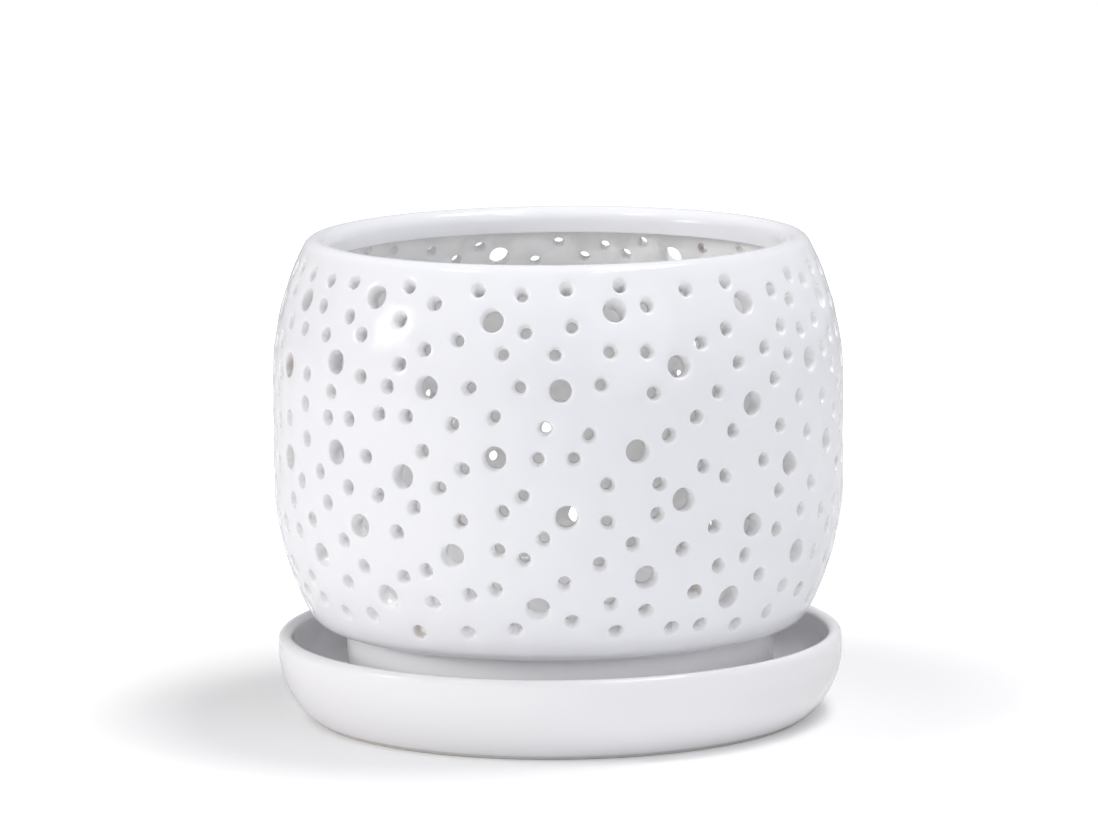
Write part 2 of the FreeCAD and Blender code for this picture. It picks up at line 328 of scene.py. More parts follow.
def turned(outline: Sequence[Pair], inside_from: int | None = None) -> MeshData:
    """Return the surface that an outline sweeps when it is turned about Z.

    Args:
        outline: radius and height of each point, in metres. A point on the axis is a pole.
        inside_from: number of the first point that counts as inside, if any does.

    Returns:
        The swept surface.
    """
    turns = np.arange(TURN_STEPS) * (math.tau / TURN_STEPS) - math.pi
    points: list[tuple[float, float, float]] = []
    rows: list[list[int]] = []
    inside: list[float] = []
    for index, (radius, height) in enumerate(outline):
        is_inside = 1.0 if inside_from is not None and index >= inside_from else 0.0
        first = len(points)
        if radius == 0:
            points.append((0.0, 0.0, height))
            rows.append([first] * TURN_STEPS)
            inside.append(is_inside)
            continue
        points.extend((radius * math.sin(t), -radius * math.cos(t), height) for t in turns)
        rows.append(list(range(first, first + TURN_STEPS)))
        inside.extend([is_inside] * TURN_STEPS)
    faces: list[tuple[int, ...]] = []
    for upper, lower in zip(rows, rows[1:]):
        for step in range(TURN_STEPS):
            following = (step + 1) % TURN_STEPS
            corners = (upper[step], upper[following], lower[following], lower[step])
            faces.append(tuple(dict.fromkeys(corners)))
    return MeshData(np.array(points), faces, np.zeros(len(points)), np.array(inside))


def joined_mesh(name: str, pieces: Sequence[MeshData]) -> bpy.types.Mesh:
    """Return one closed mesh made from pieces whose edges meet.

    Args:
        name: the mesh's name.
        pieces: the pieces to join.

    Returns:
        The mesh, with doubles merged and its faces pointing outwards.
    """
    points = np.concatenate([piece.points for piece in pieces])
    faces: list[tuple[int, ...]] = []
    first = 0
    for piece in pieces:
        faces.extend(tuple(corner + first for corner in face) for face in piece.faces)
        first += len(piece.points)
    mesh = bpy.data.meshes.new(name)
    mesh.from_pydata([tuple(p) for p in points], [], faces)
    mark_points(mesh, {
        "lining": np.concatenate([piece.lining for piece in pieces]),
        "inside": np.concatenate([piece.inside for piece in pieces]),
    })
    shape = bmesh.new()
    shape.from_mesh(mesh)
    bmesh.ops.remove_doubles(shape, verts=shape.verts, dist=MERGE_DISTANCE)
    bmesh.ops.recalc_face_normals(shape, faces=shape.faces)
    open_edges = sum(1 for edge in shape.edges if len(edge.link_faces) != 2)
    triangles = sum(len(face.verts) - 2 for face in shape.faces)
    log.info("%s: %d triangles, %d open edges, volume %.1f ml", name, triangles, open_edges,
             shape.calc_volume(signed=True) / ML)
    shape.to_mesh(mesh)
    shape.free()
    mesh.polygons.foreach_set("use_smooth", [True] * len(mesh.polygons))
    mesh.update()
    return mesh


def new_piece(name: str, mesh: bpy.types.Mesh) -> bpy.types.Object:
    """Return a new object of the scene that shows a mesh."""
    piece = bpy.data.objects.new(name, mesh)
    bpy.context.scene.collection.objects.link(piece)
    return piece


@dataclass
class WallShape:
    """The pierced wall, in metres: an upright belly with a ball's curve above and below it.

    A place on it has an azimuth, a climb along its outer side from the belly's lower edge,
    and a depth under its outer side.
    """

    radius: float = 82.5 * MM
    belly_low: float = 70.0 * MM
    belly_high: float = 98.5 * MM
    thickness: float = 5.0 * MM
    lip_height: float = 131.7 * MM
    low_tilt: float = math.radians(-28.2)
    high_tilt: float = math.radians(28.04)
    band_low: float = 34.0 * MM
    band_height: float = 100.0 * MM

    @property
    def climb_low(self) -> float:
        """Climb of the wall's lower edge."""
        return self.radius * self.low_tilt

    @property
    def climb_high(self) -> float:
        """Climb of the wall's upper edge."""
        return self.belly_high - self.belly_low + self.radius * self.high_tilt

    @property
    def inner_climb_high(self) -> float:
        """Climb at which the wall's inner side ends, under the lip."""
        rise = (self.lip_height - self.belly_high) / (self.radius - self.thickness)
        return self.belly_high - self.belly_low + self.radius * math.asin(rise)

    def place(self, azimuth: np.ndarray, climb: np.ndarray, depth: np.ndarray | float) -> np.ndarray:
        """Return the points at an azimuth, climb and depth."""
        belly = self.belly_high - self.belly_low
        tilt = (np.minimum(climb, 0) + np.maximum(climb - belly, 0)) / self.radius
        middle = self.belly_low + np.clip(climb, 0, belly)
        reach = self.radius - depth
        flat = reach * np.cos(tilt)
        height = middle + reach * np.sin(tilt)
        return np.stack([flat * np.sin(azimuth), -flat * np.cos(azimuth), height], axis=-1)

    def unwrap(self, points: np.ndarray) -> tuple[np.ndarray, np.ndarray, np.ndarray]:
        """Return the azimuth, climb and depth of points near the wall."""
        middle = np.clip(points[..., 2], self.belly_low, self.belly_high)
        rise = points[..., 2] - middle
        flat = np.hypot(points[..., 0], points[..., 1])
        azimuth = np.arctan2(points[..., 0], -points[..., 1])
        climb = middle - self.belly_low + self.radius * np.arctan2(rise, flat)
        return azimuth, climb, self.radius - np.hypot(flat, rise)

    def climb_at(self, height: float) -> float:
        """Return the climb at which the outer side has a height."""
        middle = min(max(height, self.belly_low), self.belly_high)
        return middle - self.belly_low + self.radius * math.asin((height - middle) / self.radius)


@dataclass
class AirHoles:
    """The air holes of the wall: their places, and the linings that Geometry Nodes make."""

    wall: WallShape
    gap: float = 0.9 * MM
    nudge: float = 0.05 * MM
    rounds: int = 90
    seed: int = 5
    outer_steps: int = 2
    inner_steps: int = 1
    centres: dict[HoleKind, np.ndarray] = field(default_factory=dict)
    mouths: dict[HoleKind, np.ndarray] = field(default_factory=dict)
    linings: dict[HoleKind, np.ndarray] = field(default_factory=dict)

    def scatter(self) -> None:
        """Place the holes, and nudge a small one where its rim would touch another's."""
        tables = {
            HoleKind.LARGE: (LARGE_HOLE_SHARES, LARGE_FRONT_TOP_SHARES, LARGE_BACK_TOP_SHARES),
            HoleKind.SMALL: (SMALL_HOLE_SHARES, SMALL_FRONT_TOP_SHARES, SMALL_BACK_TOP_SHARES),
        }
        rows = []
        kinds = []
        for kind, (table, front_top, back_top) in tables.items():
            for half_turn, top_row in ((0, front_top), (180, back_top)):
                for azimuth, share in top_row + table:
                    height = self.wall.band_low + share * self.wall.band_height
                    rows.append((math.radians(azimuth + half_turn), self.wall.climb_at(height)))
                    kinds.append(kind)
        fixed = kinds.count(HoleKind.LARGE)
        edges = np.array([kind.value.edge for kind in kinds])
        outer = self.eased(np.array(rows), edges, 0.0, fixed, np.full(len(rows), np.inf))
        inner_edges = np.array([kind.value.inner_edge for kind in kinds])
        tops = self.wall.inner_climb_high - inner_edges - self.gap
        inner = self.eased(outer.copy(), inner_edges, self.wall.thickness, 0, tops)
        self.centres = {HoleKind.LARGE: outer[:fixed], HoleKind.SMALL: outer[fixed:]}
        self.mouths = {HoleKind.LARGE: inner[:fixed], HoleKind.SMALL: inner[fixed:]}
        log.info("air holes: %d large, %d small", fixed, len(rows) - fixed)

    def eased(self, spots: np.ndarray, edges: np.ndarray, depth: float, fixed: int,
              tops: np.ndarray) -> np.ndarray:
        """Return the spots moved apart where two mouths would touch.

        Args:
            spots: azimuth and climb of each mouth's middle.
            edges: radius of each mouth, with its rounding.
            depth: how deep under the wall's outer side the mouths lie.
            fixed: how many of the first spots stay where they are.
            tops: highest climb of each spot.

        Returns:
            The azimuths and climbs, with a gap between any two mouths.
        """
        wanted = edges[:, None] + edges[None] + self.gap
        for _ in range(self.rounds):
            spots[:, 1] = np.minimum(spots[:, 1], tops)
            points = self.wall.place(spots[:, 0], spots[:, 1], depth)
            apart = np.linalg.norm(points[:, None] - points[None], axis=2)
            close = [(a, b) for a, b in zip(*np.nonzero(apart < wanted)) if a < b]
            if not close:
                break
            for a, b in close:
                push = wanted[a, b] - apart[a, b] + self.nudge
                turn = wrapped(spots[b, 0] - spots[a, 0])
                along = np.array([turn * self.wall.radius, spots[b, 1] - spots[a, 1]])
                along /= np.linalg.norm(along)
                share_b = 1.0 if a < fixed else 0.5
                shift = np.array([along[0] / self.wall.radius, along[1]]) * push
                spots[b] += shift * share_b
                spots[a] -= shift * (1 - share_b)
        spots[:, 0] = wrapped(spots[:, 0])
        return spots

    @staticmethod
    def laid_out(sources: dict[HoleKind, np.ndarray]) -> tuple[np.ndarray, np.ndarray]:
        """Return the spots of both kinds of hole in one table, and the radius of each one's edge."""
        edges = [np.full(len(spots), kind.value.edge) for kind, spots in sources.items()]
        return np.concatenate(list(sources.values())), np.concatenate(edges)

    def lining_tree(self) -> bpy.types.NodeTree:
        """Return the Geometry Nodes tree that bends a ring of faces into each hole's lining."""
        tree = bpy.data.node_groups.new("air_hole_lining", "GeometryNodeTree")
        tree.interface.new_socket("Geometry", in_out="INPUT", socket_type="NodeSocketGeometry")
        inputs = {
            "Float": ("Mouth", "Throat", "Funnel", "Fillet", "Wall Radius", "Belly Low", "Belly High",
                      "Thickness"),
            "Int": ("Sides", "Outer Steps", "Inner Steps"),
            "Material": ("Material",),
        }
        for kind, names in inputs.items():
            for name in names:
                tree.interface.new_socket(name, in_out="INPUT", socket_type=f"NodeSocket{kind}")
        tree.interface.new_socket("Geometry", in_out="OUTPUT", socket_type="NodeSocketGeometry")
        bench = NodeBench(tree)
        given = bench.add("NodeGroupInput").outputs
        last_row = bench.plus(bench.plus(given["Outer Steps"], given["Inner Steps"]), 2.0)
        grid = bench.add("GeometryNodeMeshGrid", {
            "Size X": 1.0,
            "Size Y": 1.0,
            "Vertices X": bench.plus(given["Sides"], 1.0),
            "Vertices Y": bench.plus(last_row, 1.0),
        })
        across, up, _ = bench.parts(bench.add("GeometryNodeInputPosition").outputs[0])
        around = bench.times(bench.plus(across, 0.5), math.tau)
        row = bench.math("ROUND", bench.times(bench.plus(up, 0.5), last_row))

        def stored(shape: Socket, name: str, value: Socket, data_type: str = "FLOAT") -> Socket:
            """Return a shape whose points carry a value."""
            values = {"Geometry": shape, "Name": name, "Value": value}
            node = bench.add("GeometryNodeStoreNamedAttribute", values, data_type=data_type,
                             domain="POINT")
            return node.outputs["Geometry"]

        ring = stored(stored(grid.outputs["Mesh"], "around", around), "row", row)
        spot_place = bench.add("GeometryNodeInputPosition").outputs[0]
        spots = stored(given["Geometry"], "centre", spot_place, "FLOAT_VECTOR")
        placed = bench.add("GeometryNodeInstanceOnPoints", {"Points": spots, "Instance": ring})
        real = bench.add("GeometryNodeRealizeInstances", {"Geometry": placed.outputs["Instances"]})

        def mark(name: str, data_type: str = "FLOAT") -> Socket:
            """Return a stored value of the point being worked on."""
            node = bench.add("GeometryNodeInputNamedAttribute", {"Name": name}, data_type=data_type)
            return next(s for s in node.outputs if s.enabled)

        def axis_point(place: Socket) -> Socket:
            """Return the point of the pot's axis that the wall there curves about."""
            height = bench.math("MAXIMUM", bench.parts(place)[2], given["Belly Low"])
            return bench.joined(0.0, 0.0, bench.math("MINIMUM", height, given["Belly High"]))

        centre = mark("centre", "FLOAT_VECTOR")
        normal = bench.direction(axis_point(centre), centre)
        level = bench.vector("NORMALIZE", bench.vector("CROSS_PRODUCT", (0.0, 0.0, 1.0), normal))
        upward = bench.vector("CROSS_PRODUCT", normal, level)
        row_here = mark("row")
        outer_share = bench.math("MINIMUM", bench.math("DIVIDE", row_here, given["Outer Steps"]), 1.0)
        inner_share = bench.math("DIVIDE", bench.minus(last_row, row_here), given["Inner Steps"])
        past_mouth = bench.minus(row_here, given["Outer Steps"])
        is_deep = bench.math("GREATER_THAN", past_mouth, 0.5)
        is_inner = bench.math("GREATER_THAN", past_mouth, 1.5)
        angle = bench.times(bench.choice(is_inner, outer_share, inner_share), math.pi / 2)
        flare = bench.times(given["Fillet"], bench.minus(1.0, bench.math("SINE", angle)))
        sink = bench.times(given["Fillet"], bench.minus(1.0, bench.math("COSINE", angle)))
        theta = mark("around")
        doubled = bench.math("MULTIPLY_ADD", theta, 2.0, mark("turn"))
        oval = bench.math("MULTIPLY_ADD", mark("squash"), bench.math("COSINE", doubled), 1.0)
        bore = bench.choice(is_deep, given["Mouth"], given["Throat"])
        reach = bench.math("MULTIPLY_ADD", bore, oval, flare)
        sideways = bench.scaled(level, bench.times(reach, bench.math("COSINE", theta)))
        upways = bench.scaled(upward, bench.times(reach, bench.math("SINE", theta)))
        straight = bench.vector("ADD", bench.vector("ADD", centre, sideways), upways)
        veer = bench.scaled(level, bench.times(is_inner, mark("veer")))
        drop = bench.scaled(upward, bench.times(is_inner, mark("drop")))
        spot = bench.vector("SUBTRACT", bench.vector("ADD", straight, veer), drop)
        pivot = axis_point(spot)
        upper = bench.choice(is_deep, sink, given["Funnel"])
        depth = bench.choice(is_inner, upper, bench.minus(given["Thickness"], sink))
        reached = bench.scaled(bench.direction(pivot, spot), bench.minus(given["Wall Radius"], depth))
        bent = bench.add("GeometryNodeSetPosition", {
            "Geometry": real.outputs["Geometry"],
            "Position": bench.vector("ADD", pivot, reached),
        })
        dressed = bench.add("GeometryNodeSetMaterial", {
            "Geometry": bent.outputs["Geometry"],
            "Material": given["Material"],
        })
        bench.add("NodeGroupOutput", {"Geometry": dressed.outputs["Geometry"]})
        return tree

    def make_linings(self, material: bpy.types.Material) -> list[MeshData]:
        """Run the tree once for each kind of hole and keep the places of its points.

        Args:
            material: the glaze of the bores.

        Returns:
            The linings of each kind of hole as plain mesh data.
        """
        tree = self.lining_tree()
        draws = np.random.default_rng(self.seed)
        pieces = []
        for kind, spots in self.centres.items():
            cut = kind.value
            mesh = bpy.data.meshes.new(f"{kind.name.lower()}_hole_centres")
            middles = self.wall.place(spots[:, 0], spots[:, 1], 0.0)
            mesh.from_pydata([tuple(p) for p in middles], [], [])
            slide = wrapped(self.mouths[kind][:, 0] - spots[:, 0])
            mark_points(mesh, {
                "squash": draws.uniform(0, cut.squash, len(spots)),
                "turn": draws.uniform(0, math.tau, len(spots)),
                "drop": spots[:, 1] - self.mouths[kind][:, 1],
                "veer": slide * np.hypot(middles[:, 0], middles[:, 1]),
            })
            source = new_piece(f"{kind.name.lower()}_hole_linings", mesh)
            modifier = source.modifiers.new("lining", "NODES")
            modifier.node_group = tree
            wanted = {
                "Mouth": cut.mouth, "Throat": cut.throat, "Funnel": cut.funnel, "Fillet": cut.fillet,
                "Wall Radius": self.wall.radius, "Belly Low": self.wall.belly_low,
                "Belly High": self.wall.belly_high, "Thickness": self.wall.thickness,
                "Sides": cut.sides, "Outer Steps": self.outer_steps, "Inner Steps": self.inner_steps,
                "Material": material,
            }
            for item in tree.interface.items_tree:
                if item.in_out == "INPUT" and item.name in wanted:
                    modifier[item.identifier] = wanted[item.name]
            graph = bpy.context.evaluated_depsgraph_get()
            made = bpy.data.meshes.new_from_object(source.evaluated_get(graph), depsgraph=graph)
            rows = self.outer_steps + self.inner_steps + 3
            flat = np.empty(len(made.vertices) * 3)
            made.vertices.foreach_get("co", flat)
            places = flat.reshape(len(spots), cut.sides + 1, rows, 3)[:, :-1]
            self.linings[kind] = places
            pieces.append(self.lining_data(places))
            bpy.data.objects.remove(source)
            bpy.data.meshes.remove(made)
            log.info("%s hole linings: %d holes of %d sides", kind.name.lower(), len(spots), cut.sides)
        return pieces

    def lining_data(self, places: np.ndarray) -> MeshData:
        """Return the linings as mesh data with their seams closed."""
        holes, sides, rows, _ = places.shape
        numbers = np.arange(holes * sides * rows).reshape(holes, sides, rows)
        following = np.roll(numbers, -1, axis=1)
        upper = (numbers[:, :, :-1], following[:, :, :-1])
        lower = (following[:, :, 1:], numbers[:, :, 1:])
        quads = np.stack(upper + lower, axis=-1)
        steps = np.arange(rows)
        lining = np.clip(steps / self.outer_steps, 0, 1) * (steps < rows - 1)
        inside = (steps == rows - 1).astype(float)
        return MeshData(
            places.reshape(-1, 3),
            [tuple(face) for face in quads.reshape(-1, 4).tolist()],
            np.broadcast_to(lining, (holes, sides, rows)).reshape(-1),
            np.broadcast_to(inside, (holes, sides, rows)).reshape(-1),
        )


@dataclass
class WallSkin:
    """One side of the wall between its air holes.

    Args:
        wall: the wall's shape.
        holes: the holes, with their linings made.
        is_inner: whether this is the wall's inner side.
        spacing: how far the points of the loose net are apart.
        seed: seed of the net's looseness.
        margin: how far past the seam at the back the net is carried, as an angle.
        clearance: how near a hole's edge the net may come, as a share of its spacing.
        looseness: how far the net's points are off their rows, as a share of its spacing.
        crowding: how near two points may be.
        ring_slack: how much nearer another hole's edge a ring's point may be than its own.
    """

    wall: WallShape
    holes: AirHoles
    is_inner: bool
    spacing: float
    seed: int = 3
    margin: float = math.radians(20)
    clearance: float = 0.62
    looseness: float = 0.1
    crowding: float = 0.5 * MM
    ring_slack: float = 0.12 * MM

    @property
    def sources(self) -> dict[HoleKind, np.ndarray]:
        """The places of the holes' mouths on this side."""
        return self.holes.mouths if self.is_inner else self.holes.centres

    def build(self) -> MeshData:
        """Return the skin: triangles between the holes' edges, rings of points and a loose net.

        Returns:
            The skin as mesh data, whose edges meet the linings, the rim and the foot.
        """
        spread, places, cells, edges = self.hole_edges()
        free = self.free_points()
        spread = np.concatenate([spread, free])
        places = np.concatenate([places, self.surface(free[:, 0], free[:, 1])])
        cells = np.concatenate([cells, np.full(len(free), -1)])
        return self.triangulate(spread, places, cells, edges)

    def surface(self, azimuth: np.ndarray, climb: np.ndarray) -> np.ndarray:
        """Return points of this side of the wall."""
        return self.wall.place(azimuth, climb, self.wall.thickness if self.is_inner else 0.0)

    def hole_edges(self) -> tuple[np.ndarray, np.ndarray, np.ndarray, list[tuple[int, int]]]:
        """Return the points on the edges of all holes on this side.

        Returns:
            Azimuth and climb of each point, its place in the pot, the number of its hole, and the
            holes' edges as pairs of point numbers.
        """
        spread: list[np.ndarray] = []
        places: list[np.ndarray] = []
        cells: list[int] = []
        edges: list[tuple[int, int]] = []
        for kind, spots in self.sources.items():
            loops = self.holes.linings[kind][:, :, -1 if self.is_inner else 0]
            for spot, loop in zip(spots, loops):
                azimuth, climb, _ = self.wall.unwrap(loop)
                azimuth = spot[0] + wrapped(azimuth - spot[0])
                first = len(cells)
                count = len(loop)
                cells.extend([len(places)] * count)
                spread.append(np.stack([azimuth, climb], axis=1))
                places.append(loop)
                edges.extend((first + step, first + (step + 1) % count) for step in range(count))
        return np.concatenate(spread), np.concatenate(places), np.array(cells), edges

    def free_points(self) -> np.ndarray:
        """Return the azimuth and climb of the points that no hole owns.

        Returns:
            The holes' rings and a loose net, and after them the skin's lower and upper edge.
        """
        wall = self.wall
        spots, edge = self.holes.laid_out(self.sources)
        middles = wall.place(spots[:, 0], spots[:, 1], 0.0)
        candidates: list[tuple[float, float, float]] = []
        if not self.is_inner:
            for kind, own in self.holes.centres.items():
                for distance in kind.value.rings:
                    for azimuth, climb in own:
                        candidates.extend(self.ring(kind.value, azimuth, climb, distance))
        draws = np.random.default_rng(self.seed)
        top = wall.inner_climb_high if self.is_inner else wall.climb_high
        rows = round((top - wall.climb_low) / (self.spacing * math.sqrt(0.75)))
        columns = round(math.tau * wall.radius / self.spacing)
        room = self.clearance * self.spacing
        for row in range(1, rows):
            climb = wall.climb_low + (top - wall.climb_low) * row / rows
            for column in range(columns):
                turn = (column + 0.5 * (row % 2)) / columns * math.tau - math.pi
                loose = draws.uniform(-self.looseness, self.looseness, 2) * self.spacing
                candidates.append((turn + loose[0] / wall.radius, climb + loose[1], room))
        table = np.array(candidates)
        points = wall.place(table[:, 0], table[:, 1], 0.0)
        distance = np.linalg.norm(points[:, None] - middles[None], axis=2) - edge[None]
        kept = distance.min(axis=1) > table[:, 2]
        kept &= table[:, 1] < top - self.crowding
        kept &= table[:, 1] > wall.climb_low + self.crowding
        table = self.thinned(table[kept], points[kept])
        turns = np.arange(TURN_STEPS) * (math.tau / TURN_STEPS) - math.pi
        rims = [np.stack([turns, np.full(TURN_STEPS, climb)], axis=1) for climb in (wall.climb_low, top)]
        return np.concatenate([np.stack([wrapped(table[:, 0]), table[:, 1]], axis=1), *rims])

    def ring(self, cut: HoleCut, azimuth: float, climb: float,
             distance: float) -> list[tuple[float, float, float]]:
        """Return a ring of points round a hole, each with how near a hole's edge it may lie."""
        belly = self.wall.belly_high - self.wall.belly_low
        tilt = (min(climb, 0) + max(climb - belly, 0)) / self.wall.radius
        reach = cut.edge + distance
        points = []
        for step in range(cut.sides):
            angle = (step + 0.5) * math.tau / cut.sides
            turn = azimuth + reach * math.cos(angle) / (self.wall.radius * math.cos(tilt))
            points.append((turn, climb + reach * math.sin(angle), distance - self.ring_slack))
        return points

    def thinned(self, table: np.ndarray, points: np.ndarray) -> np.ndarray:
        """Return the table without points that crowd an earlier one."""
        tree = point_tree(points)
        dropped: set[int] = set()
        for index, point in enumerate(points):
            if index in dropped:
                continue
            for _, other, _ in tree.find_range(point, self.crowding):
                if other > index:
                    dropped.add(other)
        kept = [index for index in range(len(points)) if index not in dropped]
        return table[kept]

    def triangulate(self, spread: np.ndarray, places: np.ndarray, cells: np.ndarray,
                    edges: list[tuple[int, int]]) -> MeshData:
        """Return the triangles between the points, closed all the way round the pot.

        Args:
            spread: azimuth and climb of each point.
            places: place of each point in the pot.
            cells: number of the hole that each point edges, or -1.
            edges: the holes' edges, as pairs of point numbers.

        Returns:
            The skin as mesh data.
        """
        spots = np.concatenate(list(self.sources.values()))
        anchor = spread[:, 0].copy()
        owned = cells >= 0
        anchor[owned] = spots[cells[owned], 0]
        base = np.arange(len(spread))
        flat = [spread]
        owner = [base]
        cell_numbers = [cells]
        loops = list(edges)
        seam = math.pi - self.margin
        for shift, chosen in ((math.tau, anchor < -seam), (-math.tau, anchor > seam)):
            picked = base[chosen]
            first = sum(len(part) for part in owner)
            numbers = dict(zip(picked.tolist(), range(first, first + len(picked))))
            flat.append(spread[picked] + (shift, 0.0))
            owner.append(picked)
            cell_numbers.append(np.where(cells[picked] >= 0, cells[picked] + int(shift) * 1000, -1))
            loops.extend((numbers[a], numbers[b]) for a, b in edges if a in numbers and b in numbers)
        plane = np.concatenate(flat) * (self.wall.radius, 1.0) / MM
        owners = np.concatenate(owner)
        cell_of = np.concatenate(cell_numbers)
        found = geometry.delaunay_2d_cdt([Vector(p) for p in plane], loops, [], 0, 1e-6, True)
        corners, triangles, origins = found[0], found[2], found[3]
        limit = math.pi * self.wall.radius / MM
        faces = []
        for triangle in triangles:
            numbers = [origins[corner][0] for corner in triangle]
            marks = {int(cell_of[number]) for number in numbers}
            if len(marks) == 1 and -1 not in marks:
                continue
            middle = sum(corners[corner].x for corner in triangle) / 3
            if -limit <= middle < limit:
                faces.append(tuple(int(owners[number]) for number in numbers))
        side = "inner" if self.is_inner else "outer"
        log.info("%s skin: %d points, %d triangles", side, len(places), len(faces))
        inside = np.full(len(places), 1.0 if self.is_inner else 0.0)
        return MeshData(places, faces, np.zeros(len(places)), inside)


@dataclass(frozen=True)
class Glaze:
    """A glossy white ceramic glaze over a pale body.

    Args:
        name: the material's name.
        colour: the glaze where it lies thick.
        thin_glaze_and_painted_light: paler glaze, for random clouds where the glaze runs thinner, and
            painted light in the bores, on their rounded edges and on the parts under the belly.
        painted_light_near_mouth: painted light on the inner side of the wall, near the mouth.
        deep: the painted light level further down the inner side.
        clay: the bare body where the foot ring was wiped.
        stain: the brown iron spots in a few bores.
        bare_height: height under which the foot ring is bare.
        bare_radius: radius outside of which nothing is bare.
        painted_foot_lightness: how far the parts under the belly, where its shadow falls, are painted
            paler, as a share.
        painted_foot_band: heights between which that painted light ends.
        painted_light_inside_band: heights between which the painted light on the inner side turns from
            deep to the level near the mouth.
        cloud_share: how strongly the clouding thins the glaze.
        stain_share: how strong the brown spots are.
        roughness: roughness of the glaze.
        bare_roughness: how much rougher the bare body is.
        soft_edge: width over which the glaze ends.
        ripple_size: how wide the slow waves in the glaze are.
        ripple_depth: how deep those waves are.
        peel_size: how wide the fine unevenness is.
        peel_depth: how deep the fine unevenness is.
        speck_size: how far the specks are apart.
    """

    name: str
    colour: Colour = (0.915, 0.92, 0.95, 1.0)
    # Paler glaze: random clouds of thinner glaze, and painted light in the bores and under the belly.
    thin_glaze_and_painted_light: Colour = (0.95, 0.95, 0.955, 1.0)
    # Painted light on the inner side: this level near the mouth, the next further down.
    painted_light_near_mouth: Colour = (0.96, 0.955, 0.95, 1.0)
    deep: Colour = (0.925, 0.92, 0.92, 1.0)
    clay: Colour = (0.60, 0.53, 0.44, 1.0)
    stain: Colour = (0.42, 0.31, 0.22, 1.0)
    bare_height: float = 5.3 * MM
    bare_radius: float = 61.6 * MM
    # Painted light: the parts under the belly, where its shadow falls, made paler.
    painted_foot_lightness: float = 0.9
    painted_foot_band: Pair = (24 * MM, 30 * MM)
    # Heights over which the painted light inside changes level.
    painted_light_inside_band: Pair = (70 * MM, 112 * MM)
    cloud_share: float = 0.10
    stain_share: float = 0.5
    roughness: float = 0.08
    bare_roughness: float = 0.6
    soft_edge: float = 0.5 * MM
    ripple_size: float = 17.0 * MM
    ripple_depth: float = 0.035 * MM
    peel_size: float = 1.6 * MM
    peel_depth: float = 0.0025 * MM
    speck_size: float = 9.0 * MM

    @staticmethod
    def surface_group() -> bpy.types.NodeTree:
        """Return the node group of waves, pin specks and clouding that every glaze shares."""
        name = "glaze_surface"
        if name in bpy.data.node_groups:
            return bpy.data.node_groups[name]
        group = bpy.data.node_groups.new(name, "ShaderNodeTree")
        for socket in ("Ripple Size", "Ripple Depth", "Peel Size", "Peel Depth", "Speck Size"):
            group.interface.new_socket(socket, in_out="INPUT", socket_type="NodeSocketFloat")
        for socket in ("Height", "Speck", "Cloud", "Stain"):
            group.interface.new_socket(socket, in_out="OUTPUT", socket_type="NodeSocketFloat")
        bench = NodeBench(group)
        given = bench.add("NodeGroupInput").outputs
        place = bench.add("ShaderNodeTexCoord").outputs["Object"]

        def noise(size: object, detail: float) -> Socket:
            """Return cloudy noise of a size."""
            scale = bench.math("DIVIDE", 1.0, size)
            values = {"Vector": place, "Scale": scale, "Detail": detail}
            return bench.add("ShaderNodeTexNoise", values).outputs[0]

        def waves(label: str, detail: float) -> Socket:
            """Return waves as high and wide as the inputs of a label say."""
            swing = bench.minus(noise(given[f"{label} Size"], detail), 0.5)
            return bench.times(swing, given[f"{label} Depth"])

        cells = bench.add("ShaderNodeTexVoronoi", {
            "Vector": place,
            "Scale": bench.math("DIVIDE", 1.0, given["Speck Size"]),
            "Randomness": 1.0,
        })
        pin = bench.spread(cells.outputs["Distance"], 0.05, 0.11, 1.0, 0.0)
        rare = bench.math("GREATER_THAN", bench.parts(cells.outputs["Color"])[0], 0.86)
        bench.add("NodeGroupOutput", {
            "Height": bench.plus(waves("Ripple", 1.0), waves("Peel", 2.0)),
            "Speck": bench.times(pin, rare),
            "Cloud": noise(bench.times(given["Ripple Size"], 2.5), 3.0),
            "Stain": bench.spread(noise(given["Speck Size"], 1.0), 0.66, 0.74),
        })
        return group

    def material(self) -> bpy.types.Material:
        """Return the material of this glaze."""
        made = bpy.data.materials.new(self.name)
        made.use_nodes = True
        made.node_tree.nodes.clear()
        bench = NodeBench(made.node_tree)
        surface = bench.add("ShaderNodeGroup", node_tree=self.surface_group())
        for name in ("Ripple Size", "Ripple Depth", "Peel Size", "Peel Depth", "Speck Size"):
            surface.inputs[name].default_value = getattr(self, name.lower().replace(" ", "_"))
        x, y, height = bench.parts(bench.add("ShaderNodeTexCoord").outputs["Object"])
        ends = self.bare_height - self.soft_edge / 2, self.bare_height + self.soft_edge / 2
        low = bench.spread(height, *ends, 1.0, 0.0)
        ends = self.bare_radius, self.bare_radius + self.soft_edge
        bare = bench.times(low, bench.spread(bench.reach(x, y), *ends, 1.0, 0.0))
        lining = bench.add("ShaderNodeAttribute", attribute_name="lining").outputs["Fac"]
        inside = bench.add("ShaderNodeAttribute", attribute_name="inside").outputs["Fac"]
        # Painted light inside the pot: the inner side is paler near the mouth than further down.
        within = bench.blend(bench.spread(height, *self.painted_light_inside_band), self.deep, self.painted_light_near_mouth)
        colour = bench.blend(inside, self.colour, within)
        # Painted light: the bores and their rounded edges get the paler glaze.
        colour = bench.blend(lining, colour, self.thin_glaze_and_painted_light)
        cloud = bench.spread(surface.outputs["Cloud"], 0.35, 0.7, 0.0, self.cloud_share)
        # Painted light: the parts under the belly, where its shadow falls, fade into the paler glaze.
        painted_foot_share = bench.spread(height, *self.painted_foot_band, self.painted_foot_lightness, 0.0)
